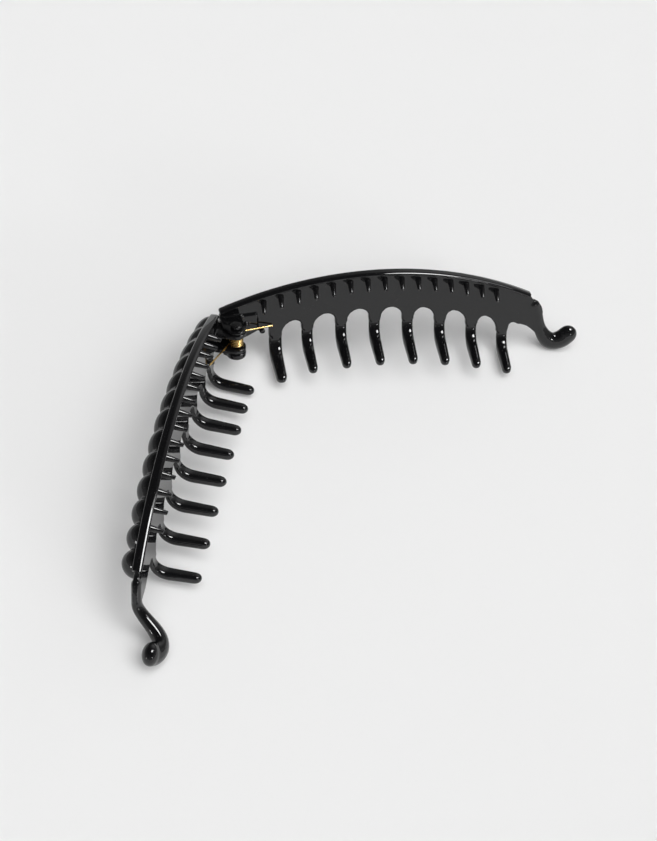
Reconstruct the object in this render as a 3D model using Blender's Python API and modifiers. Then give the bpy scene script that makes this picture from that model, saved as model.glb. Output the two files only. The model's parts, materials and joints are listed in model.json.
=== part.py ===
"""Interlocking banana hair clip: two toothed arms on a sprung hinge, with rope trims.

Each arm is drawn in its own frame, with its origin on the hinge axis: X runs out along
the arm, Z along the hinge axis, and "inward" is towards the other arm.
"""
import math

import bmesh
import bpy
from mathutils import Matrix, Vector

MM = 0.001
OBJECT_NAME = "banana_hair_clip"

# Hinge
OPEN_ANGLE = math.radians(115)
STOP_GAP = 0.4 * MM
LUG_RADIUS = 3.4 * MM
LUG_GAP = 0.3 * MM
LEFT_LUG_THICK = 1.7 * MM
RIGHT_TOP_LUG_THICK = 1.0 * MM
RIGHT_FOOT_LUG_THICK = 2.2 * MM
GUSSET = 0.6 * MM
GUSSET_STEP = 0.2 * MM
PIN_RADIUS = 1.2 * MM
PIN_HEAD_RADIUS = 1.95 * MM
PIN_HEAD_HEIGHT = 0.8 * MM
PIN_CHAMFER = 0.25 * MM
PIN_FIT = 0.3 * MM

# Torsion spring
SPRING_WIRE = 0.6 * MM
COIL_RADIUS = 2.2 * MM
COIL_TURNS = 3
COIL_GAP = 0.5 * MM
COIL_MIDDLE = 1.9 * MM
SPRING_LEG = 14.6 * MM
SPRING_LEG_HEIGHT = 1.9 * MM
SPRING_FIT = 0.3 * MM

# Arched wall and rim
RIM_RADIUS = 140.0 * MM
CREST_OUT = 41.2 * MM
CREST_HEIGHT = 17.5 * MM
RIM_WIDTH = 2.4 * MM
RIM_THICK = 1.4 * MM
RIM_LIP = 0.2 * MM
RIGHT_RIM_NEAR = -3.6 * MM
LEFT_RIM_NEAR = -1.4 * MM
WALL_INSET = 6.8 * MM
WALL_TILT = math.radians(2.5)
WALL_THICK = 1.8 * MM
END_LAND = 10.5 * MM
END_DEPTH = 13.9 * MM
END_FILLET = 1.4 * MM
NEAR_CORNER_DEPTH = 2.8 * MM

# Teeth, whose roots follow a flatter arch than the rim
ROOT_RADIUS = 140.9 * MM
ROOT_OUT = 39.6 * MM
ROOT_HEIGHT = 2.5 * MM
TOOTH_COUNT = 8
TOOTH_PITCH = 12.6 * MM
TOOTH_WIDTH = 3.9 * MM
TOOTH_TIP_WIDTH = 3.3 * MM
TOOTH_FIRST = 15.8 * MM
TOOTH_STAGGER = 6.4 * MM
TOOTH_REACH_MIDDLE = 14.8 * MM
TOOTH_REACH_ENDS = 14.0 * MM
TOOTH_DROP_MIDDLE = 14.2 * MM
TOOTH_DROP_ENDS = 13.1 * MM
TOOTH_BEND = 6.5 * MM
TOOTH_DROOP = math.radians(6.5)
TOOTH_LEAN = math.radians(3.5)
TOOTH_SWEEP = 0.043
TOOTH_GATHER = 0.16 * MM

# Grip spikes under the rim
SPIKE_COUNT = 15
SPIKE_FIRST = 11.6 * MM
SPIKE_PITCH = 6.35 * MM
SPIKE_BASE = 2.3 * MM
SPIKE_TIP = 1.0 * MM
SPIKE_LENGTH = 4.6 * MM
SPIKE_DEPTH = 3.3 * MM
SPIKE_DROOP = math.radians(8)

# Hooks that catch each other at the far ends
HOOK_OUT = 11.8 * MM
HOOK_DROP = 17.2 * MM
HOOK_BEND = 6.0 * MM
HOOK_START = math.radians(190)
HOOK_END = math.radians(330)
HOOK_THICK = 5.7 * MM
HOOK_NECK_THICK = 3.8 * MM
HOOK_NECK_TOP = 7.0 * MM
HOOK_SWAY_START = 3.9 * MM
HOOK_SWAY_END = 19.5 * MM
RIGHT_HOOK_PLANE = -6.3 * MM
LEFT_HOOK_PLANE = 1.2 * MM
LEFT_HOOK_RETURN = 1.7 * MM
NOSE_REACH = 5.1 * MM
NOSE_STEP = 1.5 * MM
NOSE_DROP = 9.0 * MM

# Spring pad, peg and leg nubs
PAD_NEAR = 1.7 * MM
PAD_LENGTH = 5.8 * MM
PAD_THICK = 0.8 * MM
PAD_TOP = 7.0 * MM
PEG_RADIUS = 0.8 * MM
PEG_LENGTH = 1.2 * MM
PEG_OUT = 1.6 * MM
PEG_RISE = 2.4 * MM
NUB_RADIUS = 1.0 * MM
NUB_OUT = 10.8 * MM
NUB_LENGTH = 1.4 * MM

# Rope trim on the outer face
ROPE_RADIUS = 5.3 * MM
ROPE_STRANDS = 3
ROPE_LAY = 24.0 * MM
ROPE_GROOVE = 0.75
ROPE_RIM_GAP = 0.3 * MM
ROPE_FIT = 0.3 * MM
ROPE_END_INSET = -0.6 * MM
ROPE_END_ROUND = 2.6 * MM

# Finishes: colour, roughness and how metallic
PLASTIC = ((0.012, 0.012, 0.013), 0.16, 0)
LACQUER = ((0.015, 0.015, 0.016), 0.25, 0)
BRASS = ((0.80, 0.56, 0.22), 0.22, 1)
CREASE = math.radians(35)

# Fineness of the faceting
ARC_STEP = math.radians(3)
SCALLOP_STEPS = 8
BEND_STEPS = 5
TUBE_RESOLUTION = 2
SPRING_RESOLUTION = 1
COIL_POINTS = 9
ROUND_SEGMENTS = 24
STUD_SIDES = 12
SPIKE_SIDES = 6
TIP_STEPS = 2
TIP_TURN = math.radians(65)
LOBE_STEPS = 4
ROPE_STEPS = 5
STANDING_ROUNDS = 4
WELD = 0.001 * MM

# Left and right: the way that inward points along local Y
LEFT = 1
RIGHT = -1

# The arches' centres, and the angles of teeth and rim end measured from their crests
ARCH_CENTRE_HEIGHT = CREST_HEIGHT - RIM_RADIUS
ROOT_CENTRE = Vector((ROOT_OUT, ROOT_HEIGHT - ROOT_RADIUS))
TOOTH_STEP = TOOTH_PITCH / ROOT_RADIUS
FIRST_ANGLE = math.asin((TOOTH_FIRST - ROOT_OUT) / ROOT_RADIUS)
LAST_ANGLE = FIRST_ANGLE + (TOOTH_COUNT - 1) * TOOTH_STEP
FAR_OUT = ROOT_OUT + ROOT_RADIUS * math.sin(LAST_ANGLE) + END_LAND
FAR_ANGLE = math.asin((FAR_OUT - CREST_OUT) / RIM_RADIUS)
TOOTH_DOWN = Vector((-math.sin(TOOTH_LEAN), -math.cos(TOOTH_LEAN)))
TOOTH_ACROSS = Vector((math.cos(TOOTH_LEAN), -math.sin(TOOTH_LEAN)))

# A block to cut with, larger than the whole clip
CUTTER_SIZE = 4 * RIM_RADIUS


def arch_point(angle, depth):
    """Point in the wall's plane, at an angle from the crest and a depth below the rim."""
    radius = RIM_RADIUS - depth
    return Vector((CREST_OUT + radius * math.sin(angle), ARCH_CENTRE_HEIGHT + radius * math.cos(angle)))


def rim_angle(out):
    """Angle from the crest of the rim point that lies a distance out from the hinge."""
    return math.asin((out - CREST_OUT) / RIM_RADIUS)


def span(start, end, count):
    """Evenly spaced values from start to end, both included."""
    return [start + (end - start) * step / count for step in range(count + 1)]


def arc_angles(start, end):
    """Angles along an arch arc at the chosen fineness."""
    return span(start, end, max(2, math.ceil(abs(end - start) / ARC_STEP)))


def face_offset(height):
    """Distance of the wall's inner face from the hinge's middle plane, at a height."""
    return WALL_INSET + height * math.tan(WALL_TILT)


FAR_END = arch_point(FAR_ANGLE, 0)
HOOK_CENTRE = FAR_END + Vector((HOOK_OUT, -HOOK_DROP))


def plate_matrix(side, inset):
    """Places a flat outline (X along the arm, Y up the wall) a depth behind the inner face."""
    up = Vector((0, -side * math.sin(WALL_TILT), math.cos(WALL_TILT)))
    inward = Vector((0, side * math.cos(WALL_TILT), math.sin(WALL_TILT)))
    along = Vector((1, 0, 0))
    origin = Vector((0, -side * WALL_INSET, 0)) - inward * inset
    rotation = Matrix((along, up, along.cross(up))).transposed()
    return Matrix.Translation(origin) @ rotation.to_4x4()


def plate_point(side, out, up, inward):
    """Arm-frame point from a place on the wall's inner face and a distance inward of it."""
    return plate_matrix(side, -inward) @ Vector((out, up, 0))


# Spring geometry shared with the hinge's lugs
LEG_OFFSET = face_offset(SPRING_LEG_HEIGHT) - SPRING_WIRE / 2 - SPRING_FIT
LEG_SPAN = math.hypot(SPRING_LEG, LEG_OFFSET)
TANGENT_ANGLE = math.atan2(LEG_OFFSET, SPRING_LEG) + math.acos(COIL_RADIUS / LEG_SPAN)
COIL_SWEEP = (2 * math.pi - OPEN_ANGLE - 2 * TANGENT_ANGLE) % (2 * math.pi)
COIL_SWEEP += COIL_TURNS * 2 * math.pi
COIL_HEIGHT = (SPRING_WIRE + COIL_GAP) * COIL_SWEEP / (2 * math.pi)
COIL_SPACE = COIL_HEIGHT + SPRING_WIRE + 2 * SPRING_FIT

# Heights of the hinge's lugs, stacked from the coil outwards
LEFT_TOP_LUG = COIL_MIDDLE + COIL_SPACE / 2 + LEFT_LUG_THICK / 2
LEFT_FOOT_LUG = COIL_MIDDLE - COIL_SPACE / 2 - LEFT_LUG_THICK / 2
RIGHT_TOP_LUG = LEFT_TOP_LUG + (LEFT_LUG_THICK + RIGHT_TOP_LUG_THICK) / 2 + LUG_GAP
RIGHT_FOOT_LUG = LEFT_FOOT_LUG - (LEFT_LUG_THICK + RIGHT_FOOT_LUG_THICK) / 2 - LUG_GAP
STACK_TOP = RIGHT_TOP_LUG + RIGHT_TOP_LUG_THICK / 2
STACK_FOOT = RIGHT_FOOT_LUG - RIGHT_FOOT_LUG_THICK / 2
NEAR_END = -face_offset(STACK_FOOT) / math.tan(OPEN_ANGLE / 2) + STOP_GAP


def clear_scene():
    for obj in list(bpy.data.objects):
        bpy.data.objects.remove(obj, do_unlink=True)


def new_collection(name):
    collection = bpy.data.collections.new(name)
    bpy.context.scene.collection.children.link(collection)
    return collection


def material(name, colour, roughness, metallic):
    made = bpy.data.materials.new(name)
    made.use_nodes = True
    shader = made.node_tree.nodes["Principled BSDF"]
    shader.inputs["Base Color"].default_value = (*colour, 1)
    shader.inputs["Roughness"].default_value = roughness
    shader.inputs["Metallic"].default_value = metallic
    return made


def evaluated_mesh(obj):
    """The object's evaluated shape as a welded mesh, with the object itself removed."""
    depsgraph = bpy.context.evaluated_depsgraph_get()
    mesh = bpy.data.meshes.new_from_object(obj.evaluated_get(depsgraph))
    mesh.transform(obj.matrix_world)
    bpy.data.objects.remove(obj, do_unlink=True)
    weld(mesh)
    return mesh


def weld(mesh):
    """Joins coincident points and turns every face outwards."""
    shape = bmesh.new()
    shape.from_mesh(mesh)
    bmesh.ops.remove_doubles(shape, verts=shape.verts, dist=WELD)
    bmesh.ops.recalc_face_normals(shape, faces=shape.faces)
    shape.to_mesh(mesh)
    shape.free()


def work_object(name, data):
    """A guide object among the cutters, which isn't part of the clip."""
    obj = bpy.data.objects.new(name, data)
    obj.hide_render = True
    obj.display_type = "WIRE"
    cutters.objects.link(obj)
    return obj


def curve_mesh(name, curve, matrix):
    obj = work_object(name, curve)
    obj.matrix_world = matrix
    bpy.context.view_layer.update()
    return evaluated_mesh(obj)


def flat_plate(name, outline, thickness, matrix):
    """A closed outline in local XY, thickened evenly about its plane."""
    curve = bpy.data.curves.new(name, "CURVE")
    curve.dimensions = "2D"
    curve.fill_mode = "BOTH"
    curve.extrude = thickness / 2
    spline = curve.splines.new("POLY")
    spline.points.add(len(outline) - 1)
    for point, (x, y) in zip(spline.points, outline):
        point.co = (x, y, 0, 1)
    spline.use_cyclic_u = True
    return curve_mesh(name, curve, matrix)


def tube_curve(name, points, radii, resolution):
    """A round bar along points, with its own radius at each and closed ends."""
    curve = bpy.data.curves.new(name, "CURVE")
    curve.dimensions = "3D"
    curve.bevel_depth = 1
    curve.bevel_resolution = resolution
    curve.use_fill_caps = True
    spline = curve.splines.new("POLY")
    spline.points.add(len(points) - 1)
    for point, place, radius in zip(spline.points, points, radii):
        point.co = (*place, 1)
        point.radius = radius
    return curve


def tube(name, points, radii, resolution):
    return curve_mesh(name, tube_curve(name, points, radii, resolution), Matrix.Identity(4))


def cylinder(radius, length, matrix, segments=ROUND_SEGMENTS, end_radius=None):
    """A capped cylinder or cone along local Z, centred on its own origin."""
    mesh = bpy.data.meshes.new("cylinder")
    shape = bmesh.new()
    bmesh.ops.create_cone(
        shape, cap_ends=True, segments=segments, depth=length, matrix=matrix,
        radius1=radius, radius2=radius if end_radius is None else end_radius,
    )
    shape.to_mesh(mesh)
    shape.free()
    return mesh


def combine(base, operands, operation):
    """Boolean of a base mesh with a group of meshes, as one new mesh."""
    group = bpy.data.collections.new(operation)
    cutters.children.link(group)
    obj = work_object("base", base)
    for mesh in operands:
        operand = bpy.data.objects.new(mesh.name, mesh)
        operand.hide_render = True
        operand.display_type = "WIRE"
        group.objects.link(operand)
    boolean = obj.modifiers.new(operation, "BOOLEAN")
    boolean.operation = operation
    boolean.operand_type = "COLLECTION"
    boolean.collection = group
    bpy.context.view_layer.update()
    result = evaluated_mesh(obj)
    for operand in list(group.objects):
        bpy.data.objects.remove(operand, do_unlink=True)
    bpy.data.collections.remove(group)
    return result


def add_part(name, mesh, finish, parent):
    """One piece of the clip, shaded smooth except at its real edges."""
    mesh.name = name
    mesh.materials.clear()
    mesh.materials.append(finish)
    mesh.shade_smooth()
    mesh.set_sharp_from_angle(angle=CREASE)
    obj = bpy.data.objects.new(name, mesh)
    obj.parent = parent
    parts.objects.link(obj)
    return obj


def add_empty(name, parent, turn):
    empty = bpy.data.objects.new(name, None)
    empty.parent = parent
    empty.rotation_euler = (0, 0, turn)
    parts.objects.link(empty)
    return empty


def along_row(index, middle_value, end_value):
    """A tooth's size, which changes a little from the middle of the row towards both ends."""
    middle = (TOOTH_COUNT - 1) / 2
    return middle_value + (end_value - middle_value) * ((index - middle) / middle) ** 2


def tooth_drop(index):
    """Tip's drop below the scallops."""
    return along_row(index, TOOTH_DROP_MIDDLE, TOOTH_DROP_ENDS)


def tooth_reach(index):
    """Tip's distance inward from the wall's face."""
    return along_row(index, TOOTH_REACH_MIDDLE, TOOTH_REACH_ENDS)


def prong_start():
    return -WALL_THICK / 2


def prong_length(index):
    """Straight length of a tooth between its bend and its tip."""
    bend_end = prong_start() + TOOTH_BEND * (1 - math.sin(TOOTH_DROOP))
    return (tooth_reach(index) - bend_end) / math.cos(TOOTH_DROOP)


def shoulder_drop(index):
    """Drop at which a tooth leaves the wall's plane and starts to bend inward."""
    bent = TOOTH_BEND * math.cos(TOOTH_DROOP) + prong_length(index) * math.sin(TOOTH_DROOP)
    return tooth_drop(index) - bent


def tooth_root(side, index):
    """Middle of a tooth at the level of the scallops; the left teeth stand between the right ones."""
    stagger = -TOOTH_STAGGER / ROOT_RADIUS if side == LEFT else 0
    angle = FIRST_ANGLE + index * TOOTH_STEP + stagger
    return ROOT_CENTRE + Vector((math.sin(angle), math.cos(angle))) * ROOT_RADIUS


def lower_edge(side):
    """Wall's toothed lower outline, from the last tooth's outer side to before the first."""
    half_width = TOOTH_ACROSS * TOOTH_WIDTH / 2
    outline = []
    for index in reversed(range(TOOTH_COUNT)):
        root = tooth_root(side, index)
        foot = TOOTH_DOWN * shoulder_drop(index)
        outline += [root + half_width + foot, root - half_width + foot]
        step = root - tooth_root(side, index - 1)
        half_gap = step / 2 - half_width
        centre = root - half_width - half_gap
        sweep = math.pi if index else math.pi / 2
        for turn in span(0, sweep, SCALLOP_STEPS if index else SCALLOP_STEPS // 2):
            fall = TOOTH_DOWN * half_gap.length * (1 - math.sin(turn))
            outline.append(centre + half_gap * math.cos(turn) + fall)
    return outline


def wall_outline(side, rim_near, foot):
    """Side view of an arm's wall: arched top, rounded nose, toothed lower edge and lug tab."""
    buried = RIM_THICK / 2
    near_top = rim_angle(max(rim_near, NEAR_END))
    outline = [arch_point(angle, buried) for angle in arc_angles(near_top, FAR_ANGLE)]
    for turn in span(math.pi / 2, 0, BEND_STEPS):
        outline.append(FAR_END + Vector((
            NOSE_REACH * math.cos(turn), (NOSE_DROP - NOSE_STEP) * math.sin(turn) - NOSE_DROP,
        )))
    outline.append(FAR_END + Vector((NOSE_REACH, -END_DEPTH)))
    outline.append(FAR_END + Vector((0, -END_DEPTH)))
    land = tooth_root(side, TOOTH_COUNT - 1) + TOOTH_ACROSS * (TOOTH_WIDTH / 2 + END_FILLET)
    for turn in span(0, math.pi / 2, SCALLOP_STEPS // 2):
        bend = TOOTH_DOWN * (1 - math.cos(turn)) - TOOTH_ACROSS * math.sin(turn)
        outline.append(land + bend * END_FILLET)
    outline += lower_edge(side)
    outline.append(Vector((min(LUG_RADIUS, outline[-1].x), foot)))
    outline.append(Vector((NEAR_END, foot)))
    outline.append(Vector((NEAR_END, arch_point(rim_angle(NEAR_END), NEAR_CORNER_DEPTH).y)))
    return outline


def rim_outline(rim_near):
    """The flat band that caps the wall's arched edge."""
    angles = arc_angles(rim_angle(rim_near), FAR_ANGLE)
    outer = [arch_point(angle, 0) for angle in angles]
    inner = [arch_point(angle, RIM_THICK) for angle in reversed(angles)]
    return outer + inner


def rounded_end(radius):
    """Distance back from a round tip and radius there, at steps over its last quarter turn."""
    turns = span(0, TIP_TURN, TIP_STEPS)
    return [(radius * (1 - math.sin(turn)), radius * math.cos(turn)) for turn in turns]


def tooth(side, index):
    """A finger that drops from the wall, bends inward and droops to a round tip."""
    start = shoulder_drop(index)
    route = [(start - TOOTH_WIDTH / 2, prong_start(), TOOTH_WIDTH / 2)]
    for turn in span(0, math.pi / 2 - TOOTH_DROOP, BEND_STEPS):
        route.append((
            start + TOOTH_BEND * math.sin(turn),
            prong_start() + TOOTH_BEND * (1 - math.cos(turn)),
            TOOTH_WIDTH / 2,
        ))
    for back, radius in rounded_end(TOOTH_TIP_WIDTH / 2):
        route.append((
            tooth_drop(index) - back * math.sin(TOOTH_DROOP),
            tooth_reach(index) - back * math.cos(TOOTH_DROOP),
            radius,
        ))
    gather = TOOTH_GATHER * ((TOOTH_COUNT - 1) / 2 - index) / tooth_reach(index) - TOOTH_SWEEP
    points = []
    for drop, inward, _ in route:
        place = tooth_root(side, index) + TOOTH_DOWN * drop + TOOTH_ACROSS * gather * max(0, inward)
        points.append(plate_point(side, place.x, place.y, inward))
    return tube("tooth", points, [radius for _, _, radius in route], TUBE_RESOLUTION)


def spike(side, angle):
    """A cone below the rim that points inward and slightly down."""
    out, up = arch_point(angle, SPIKE_DEPTH)
    direction = Vector((0, math.cos(SPIKE_DROOP), -math.sin(SPIKE_DROOP)))
    root = plate_point(side, out, up, -WALL_THICK / 2)
    length = SPIKE_LENGTH + WALL_THICK / 2
    aim = Vector((0, side * direction.y, direction.z))
    turn = aim.to_track_quat("Z", "Y").to_matrix().to_4x4()
    middle = Matrix.Translation(root + aim * length / 2)
    return cylinder(SPIKE_BASE / 2, length, middle @ turn, SPIKE_SIDES, SPIKE_TIP / 2)


def spike_angles():
    """Places of the spikes along the arch, evenly spaced on their own arc."""
    radius = RIM_RADIUS - SPIKE_DEPTH
    start = math.asin((SPIKE_FIRST - CREST_OUT) / radius)
    return [start + index * SPIKE_PITCH / radius for index in range(SPIKE_COUNT)]


def lug(side, height, thick):
    """A plate with a round end on the hinge axis, standing inward from the wall."""
    root = -side * (face_offset(height) + WALL_THICK / 2)
    outline = [(NEAR_END, root), (LUG_RADIUS, root)]
    for turn in span(0, math.pi, ROUND_SEGMENTS // 2):
        outline.append((LUG_RADIUS * math.cos(turn), side * LUG_RADIUS * math.sin(turn)))
    outline.append((NEAR_END, side * (LUG_RADIUS + NEAR_END)))
    return flat_plate("lug", outline, thick, Matrix.Translation((0, 0, height)))


def lug_gusset(side, height, thick):
    """Sloped root under a top lug, so that it leaves no undercut against the leaning wall."""
    face = face_offset(height)
    sunk = face + WALL_THICK / 2
    under = height - thick / 2
    outline = [
        (sunk, height), (face - GUSSET, height), (face - GUSSET, under),
        (face, under - GUSSET), (sunk, under - GUSSET),
    ]
    start = NEAR_END + GUSSET_STEP
    end = LUG_RADIUS + GUSSET_STEP
    turn = Matrix(((0, 0, -side), (-side, 0, 0), (0, 1, 0))).to_4x4()
    return flat_plate("gusset", outline, end - start, Matrix.Translation(((start + end) / 2, 0, 0)) @ turn)


def ease(share):
    """Smooth step from nought to one."""
    share = min(1, max(0, share))
    return share * share * (3 - 2 * share)


def hook(side):
    """A J-shaped finger that runs on from the wall; the left one sways across the middle plane."""
    plane = LEFT_HOOK_PLANE if side == LEFT else RIGHT_HOOK_PLANE
    come_back = LEFT_HOOK_RETURN if side == LEFT else 0
    turns = span(HOOK_START, HOOK_END, 2 * BEND_STEPS)
    bend = [HOOK_CENTRE + HOOK_BEND * Vector((math.cos(turn), math.sin(turn))) for turn in turns]
    neck_top = FAR_END + Vector((HOOK_NECK_THICK / 2, -HOOK_NECK_TOP))
    places = [neck_top.lerp(bend[0], share) for share in span(0, 1, BEND_STEPS)] + bend[1:]
    lengths = [0]
    for before, after in zip(places, places[1:]):
        lengths.append(lengths[-1] + (after - before).length)
    neck_plane = -face_offset(neck_top.y) - WALL_THICK / 2
    route = []
    for place, length in zip(places, lengths):
        sway = ease((length - HOOK_SWAY_START) / (HOOK_SWAY_END - HOOK_SWAY_START))
        back = ease((length - HOOK_SWAY_END) / (lengths[-1] - HOOK_SWAY_END))
        thick = HOOK_NECK_THICK + (HOOK_THICK - HOOK_NECK_THICK) * sway
        route.append((place, neck_plane + (plane - neck_plane) * sway - come_back * back, thick / 2))
    tip, tip_plane, tip_radius = route[-1]
    heading = Vector((-math.sin(HOOK_END), math.cos(HOOK_END)))
    for back, radius in rounded_end(tip_radius)[1:]:
        route.append((tip + heading * (tip_radius - back), tip_plane, radius))
    points = [Vector((place.x, side * inward, place.y)) for place, inward, _ in route]
    return tube("hook", points, [radius for _, _, radius in route], TUBE_RESOLUTION)


def stud(side, out, up, radius, length, inset):
    """A short round stud that stands on the wall's inner face or on the pad."""
    across = plate_matrix(side, 0).to_3x3().to_4x4()
    place = Matrix.Translation(plate_point(side, out, up, inset))
    return cylinder(radius, 2 * length, place @ across, STUD_SIDES)


def leg_nub(side):
    """Stud under a spring leg that keeps it from sliding down the wall."""
    up = SPRING_LEG_HEIGHT - SPRING_WIRE / 2 - SPRING_FIT - NUB_RADIUS
    return stud(side, NUB_OUT, up, NUB_RADIUS, NUB_LENGTH, 0)


def spring_pad(side):
    """Raised pad with a peg beside the right arm's lugs."""
    foot = SPRING_LEG_HEIGHT - NUB_RADIUS
    pad_far = LUG_RADIUS + PAD_LENGTH
    pad = [(PAD_NEAR, foot), (pad_far, foot), (pad_far, PAD_TOP), (PAD_NEAR, PAD_TOP)]
    sunk = WALL_THICK / 2
    seat = flat_plate("pad", pad, sunk + PAD_THICK, plate_matrix(side, (sunk - PAD_THICK) / 2))
    peg_up = SPRING_LEG_HEIGHT + PEG_RISE
    return [seat, stud(side, LUG_RADIUS + PEG_OUT, peg_up, PEG_RADIUS, PEG_LENGTH, PAD_THICK)]


def arm(name, side, finish, parent):
    """One moulding: wall, rim, teeth, spikes, lugs and hook."""
    rim_near = LEFT_RIM_NEAR if side == LEFT else RIGHT_RIM_NEAR
    foot = LEFT_FOOT_LUG if side == LEFT else RIGHT_FOOT_LUG
    outline = wall_outline(side, rim_near, foot)
    wall = flat_plate("wall", outline, WALL_THICK, plate_matrix(side, WALL_THICK / 2))
    rim_middle = RIM_WIDTH / 2 - RIM_LIP
    pieces = [flat_plate("rim", rim_outline(rim_near), RIM_WIDTH, plate_matrix(side, rim_middle))]
    pieces += [tooth(side, index) for index in range(TOOTH_COUNT)]
    pieces += [spike(side, angle) for angle in spike_angles()]
    pieces += [hook(side), leg_nub(side)]
    if side == LEFT:
        pieces.append(lug(side, LEFT_TOP_LUG, LEFT_LUG_THICK))
        pieces.append(lug_gusset(side, LEFT_TOP_LUG, LEFT_LUG_THICK))
        pieces.append(lug(side, LEFT_FOOT_LUG, LEFT_LUG_THICK))
    else:
        pieces.append(lug(side, RIGHT_TOP_LUG, RIGHT_TOP_LUG_THICK))
        pieces.append(lug_gusset(side, RIGHT_TOP_LUG, RIGHT_TOP_LUG_THICK))
        pieces.append(lug(side, RIGHT_FOOT_LUG, RIGHT_FOOT_LUG_THICK))
        pieces += spring_pad(side)
    moulding = combine(wall, pieces, "UNION")
    bore = cylinder(
        PIN_RADIUS + PIN_FIT, 2 * (STACK_TOP - STACK_FOOT),
        Matrix.Translation((0, 0, COIL_MIDDLE)),
    )
    return add_part(name, combine(moulding, [bore], "DIFFERENCE"), finish, parent)


def rope_profile():
    """Cross-section of the laid rope: one round lobe for each strand."""
    curve = bpy.data.curves.new("rope_profile", "CURVE")
    curve.dimensions = "2D"
    count = ROPE_STRANDS * LOBE_STEPS
    spline = curve.splines.new("POLY")
    spline.points.add(count - 1)
    for index, point in enumerate(spline.points):
        turn = 2 * math.pi * index / count
        lobe = abs(math.cos(ROPE_STRANDS * turn / 2))
        radius = ROPE_GROOVE + (1 - ROPE_GROOVE) * lobe
        point.co = (radius * math.cos(turn), radius * math.sin(turn), 0, 1)
    spline.use_cyclic_u = True
    return work_object("rope_profile", curve)


def rope_trim(name, side, finish, parent):
    """Half-round twisted rope along the outer face, cut flat against the wall."""
    depth = RIM_THICK + ROPE_RIM_GAP + ROPE_RADIUS
    radius = RIM_RADIUS - depth
    rim_near = LEFT_RIM_NEAR if side == LEFT else RIGHT_RIM_NEAR
    start = rim_angle(rim_near) + ROPE_END_INSET / RIM_RADIUS
    end = FAR_ANGLE - ROPE_END_INSET / RIM_RADIUS
    length = (end - start) * radius
    count = round(length / ROPE_LAY * ROPE_STRANDS * ROPE_STEPS)
    profile = rope_profile()
    curve = bpy.data.curves.new(name, "CURVE")
    curve.dimensions = "3D"
    curve.bevel_mode = "OBJECT"
    curve.bevel_object = profile
    curve.use_fill_caps = True
    spline = curve.splines.new("POLY")
    spline.points.add(count)
    for point, angle in zip(spline.points, span(start, end, count)):
        out, up = arch_point(angle, depth)
        travelled = (angle - start) * radius
        nearest = min(travelled, length - travelled) / ROPE_END_ROUND
        swell = math.sqrt(1 - (1 - min(1, nearest)) ** 2)
        point.co = (*plate_point(side, out, up, -WALL_THICK - ROPE_FIT), 1)
        point.radius = ROPE_RADIUS * (ROPE_GROOVE + (1 - ROPE_GROOVE) * swell)
        point.tilt = -side * 2 * math.pi * travelled / ROPE_LAY
    rope = curve_mesh(name, curve, Matrix.Identity(4))
    bpy.data.objects.remove(profile, do_unlink=True)
    slab = bpy.data.meshes.new("slab")
    shape = bmesh.new()
    bmesh.ops.create_cube(shape, size=CUTTER_SIZE)
    shape.to_mesh(slab)
    shape.free()
    slab.transform(plate_matrix(side, 0) @ Matrix.Translation(
        (0, 0, -side * (CUTTER_SIZE / 2 - WALL_THICK - ROPE_FIT))))
    return add_part(name, combine(rope, [slab], "DIFFERENCE"), finish, parent)


def hinge_pin(finish, parent):
    """Headed pin, turned: its head stands on the top lug and its foot in the lowest one."""
    head_foot = STACK_TOP + PIN_FIT
    head_top = head_foot + PIN_HEAD_HEIGHT
    foot = STACK_FOOT + PIN_CHAMFER
    profile = [
        (0, head_top), (PIN_HEAD_RADIUS - PIN_CHAMFER, head_top), (PIN_HEAD_RADIUS, head_top - PIN_CHAMFER),
        (PIN_HEAD_RADIUS, head_foot), (PIN_RADIUS, head_foot),
        (PIN_RADIUS, foot + PIN_CHAMFER), (PIN_RADIUS - PIN_CHAMFER, foot), (0, foot),
    ]
    mesh = bpy.data.meshes.new("hinge_pin")
    edges = [(index, index + 1) for index in range(len(profile) - 1)]
    mesh.from_pydata([(radius, 0, height) for radius, height in profile], edges, [])
    obj = work_object("hinge_pin_profile", mesh)
    screw = obj.modifiers.new("turn", "SCREW")
    screw.steps = ROUND_SEGMENTS
    screw.render_steps = ROUND_SEGMENTS
    screw.use_merge_vertices = True
    screw.merge_threshold = WELD
    bpy.context.view_layer.update()
    return add_part("hinge_pin", evaluated_mesh(obj), finish, parent)


def spring_route(right_turn, left_turn):
    """Wire centre line: right leg, coil wound down the pin, left leg."""
    top = COIL_MIDDLE + COIL_HEIGHT / 2
    leg_right = Vector((SPRING_LEG, LEG_OFFSET, SPRING_LEG_HEIGHT))
    leg_left = Vector((SPRING_LEG, -LEG_OFFSET, SPRING_LEG_HEIGHT))
    route = [Matrix.Rotation(right_turn, 3, "Z") @ leg_right]
    count = math.ceil(COIL_SWEEP / (2 * math.pi) * COIL_POINTS)
    for share in span(0, 1, count):
        turn = right_turn + TANGENT_ANGLE + COIL_SWEEP * share
        route.append(Vector((
            COIL_RADIUS * math.cos(turn), COIL_RADIUS * math.sin(turn), top - COIL_HEIGHT * share,
        )))
    route.append(Matrix.Rotation(left_turn, 3, "Z") @ leg_left)
    return route


def least_coil_gap(route):
    """Smallest clearance between points of the wire that lie at least half a turn apart."""
    apart = COIL_POINTS // 2
    closest = min(
        (route[first] - route[second]).length
        for first in range(len(route))
        for second in range(first + apart, len(route))
    )
    return closest - SPRING_WIRE


def torsion_spring(finish, parent, right_turn, left_turn):
    route = spring_route(right_turn, left_turn)
    print(f"torsion_spring least gap to itself: {least_coil_gap(route) / MM:.2f} mm")
    wire = tube("torsion_spring", route, [SPRING_WIRE / 2] * len(route), SPRING_RESOLUTION)
    return add_part("torsion_spring", wire, finish, parent)


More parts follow.
